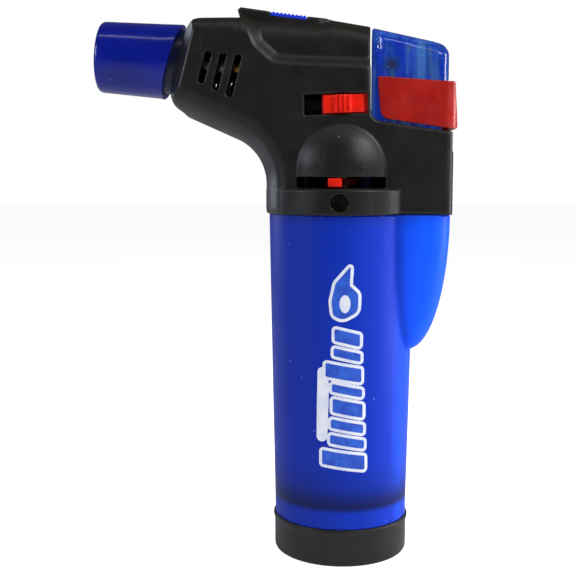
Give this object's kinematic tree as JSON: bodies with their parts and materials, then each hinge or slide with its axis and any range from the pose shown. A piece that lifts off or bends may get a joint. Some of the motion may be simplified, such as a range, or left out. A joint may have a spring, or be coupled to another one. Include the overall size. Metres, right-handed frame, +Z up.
{
  "type": "gun torch lighter",
  "caption": "Gun-style butane torch lighter with a translucent tank handle, a tilted flame sleeve, a thumb button with safety latch, a flame lock slide and a gas lever.",
  "frame": {"origin": "centre of the flat face that the base rests on, on the tank's axis", "axes": "+Z up along the tank, -X the way the nozzle points, +X towards the thumb button, -Y the side with the controls"},
  "size_m": [0.09, 0.0382, 0.1376],
  "materials": {
    "black_shell": "fine satin grain, moulded",
    "blue_print": "moulded blue insert",
    "sleeve_blue": "glossy baked enamel",
    "neck_navy": "satin enamel",
    "tank_blue": "frosted translucent moulding",
    "floor_blue": "translucent moulding",
    "button_blue": "clear tinted moulding",
    "latch_red": "smooth moulded red",
    "bright_red": "smooth moulded red",
    "cap_smoke": "smoky translucent moulding",
    "steel": "drawn steel",
    "black_steel": "black oxide",
    "brass": "turned brass",
    "ceramic": "glazed ceramic",
    "hose_pale": "soft tube",
    "wire_black": "insulated wire",
    "black_plastic": "moulded black",
    "natural_plastic": "natural nylon",
    "seal_rubber": "nitrile rubber",
    "felt": "pressed felt"
  },
  "bodies": {
    "handle": {"housing_near": "black_shell", "housing_far": "black_shell", "housing_screws": "steel", "top_plate": "black_shell", "top_plate_inlay": "blue_print", "flame_sleeve": "sleeve_blue", "sleeve_neck": "neck_navy", "burner_tube": "steel", "flame_holder": "brass", "jet_block": "brass", "electrode": "steel", "electrode_insulator": "ceramic", "gas_hose": "hose_pale", "ignition_wire": "wire_black", "piezo_body": "black_plastic", "piezo_spring": "steel", "latch_spring": "steel", "lever_pin": "steel", "valve_body": "brass", "valve_spring": "steel", "valve_seal": "seal_rubber", "lock_spring": "steel", "tank": "tank_blue", "tank_lid": "floor_blue", "tank_lid_seal": "seal_rubber", "felt_wick": "felt", "collar_screws": "black_steel", "tank_floor": "floor_blue", "base_cap": "cap_smoke", "fill_valve_body": "brass", "fill_valve_spring": "steel", "fill_valve_seal": "seal_rubber"},
    "button": {"thumb_button": "button_blue", "piezo_plunger": "natural_plastic", "interlock_pin": "black_steel"},
    "latch": {"button_latch": "latch_red"},
    "interlock": {"interlock_arm": "black_plastic"},
    "lock": {"lock_slide": "bright_red"},
    "adjuster": {"gas_adjuster": "bright_red"},
    "lever": {"gas_lever": "steel"},
    "stem": {"valve_stem": "steel"},
    "fill_stem": {"fill_valve_stem": "steel"}
  },
  "joints": [
    {"name": "button_press", "type": "slide", "parent": "handle", "child": "button", "axis": [0, 0, -1], "range_m": [0, 0.005], "stiffness_N_per_m": 1200, "springref_m": -0.002, "deforming": ["piezo_spring"]},
    {"name": "latch_push", "type": "slide", "parent": "button", "child": "latch", "axis": [-1, 0, 0], "range_m": [0, 0.0012], "stiffness_N_per_m": 400, "springref_m": -0.001, "deforming": ["latch_spring"]},
    {"name": "interlock_turn", "type": "hinge", "parent": "button", "child": "interlock", "pos_m": [0.012, 0, 0.1233], "axis": [0, 1, 0], "range_deg": [0, 8]},
    {"name": "lock_slide_travel", "type": "slide", "parent": "handle", "child": "lock", "axis": [-0.9996, 0, -0.0297], "range_m": [0, 0.0037]},
    {"name": "gas_adjust", "type": "hinge", "parent": "handle", "child": "adjuster", "pos_m": [0, 0, 0.0949], "axis": [0, 0, 1], "range_deg": [-27, 36]},
    {"name": "lever_rock", "type": "hinge", "parent": "handle", "child": "lever", "pos_m": [0.006, 0, 0.1006], "axis": [0, 1, 0], "range_deg": [0, 9]},
    {"name": "stem_lift", "type": "slide", "parent": "handle", "child": "stem", "axis": [0, 0, 1], "range_m": [0, 0.0012], "deforming": ["valve_spring"]},
    {"name": "fill_valve_push", "type": "slide", "parent": "handle", "child": "fill_stem", "axis": [0, 0, 1], "range_m": [0, 0.0015], "stiffness_N_per_m": 500, "springref_m": -0.001, "deforming": ["fill_valve_spring"]}
  ],
  "couplings": [
    {"joint": "lever_rock", "follows": "button_press", "rad_per_m": 31.413},
    {"joint": "stem_lift", "follows": "button_press", "ratio": 0.24},
    {"joint": "interlock_turn", "follows": "latch_push", "rad_per_m": 116.34}
  ]
}
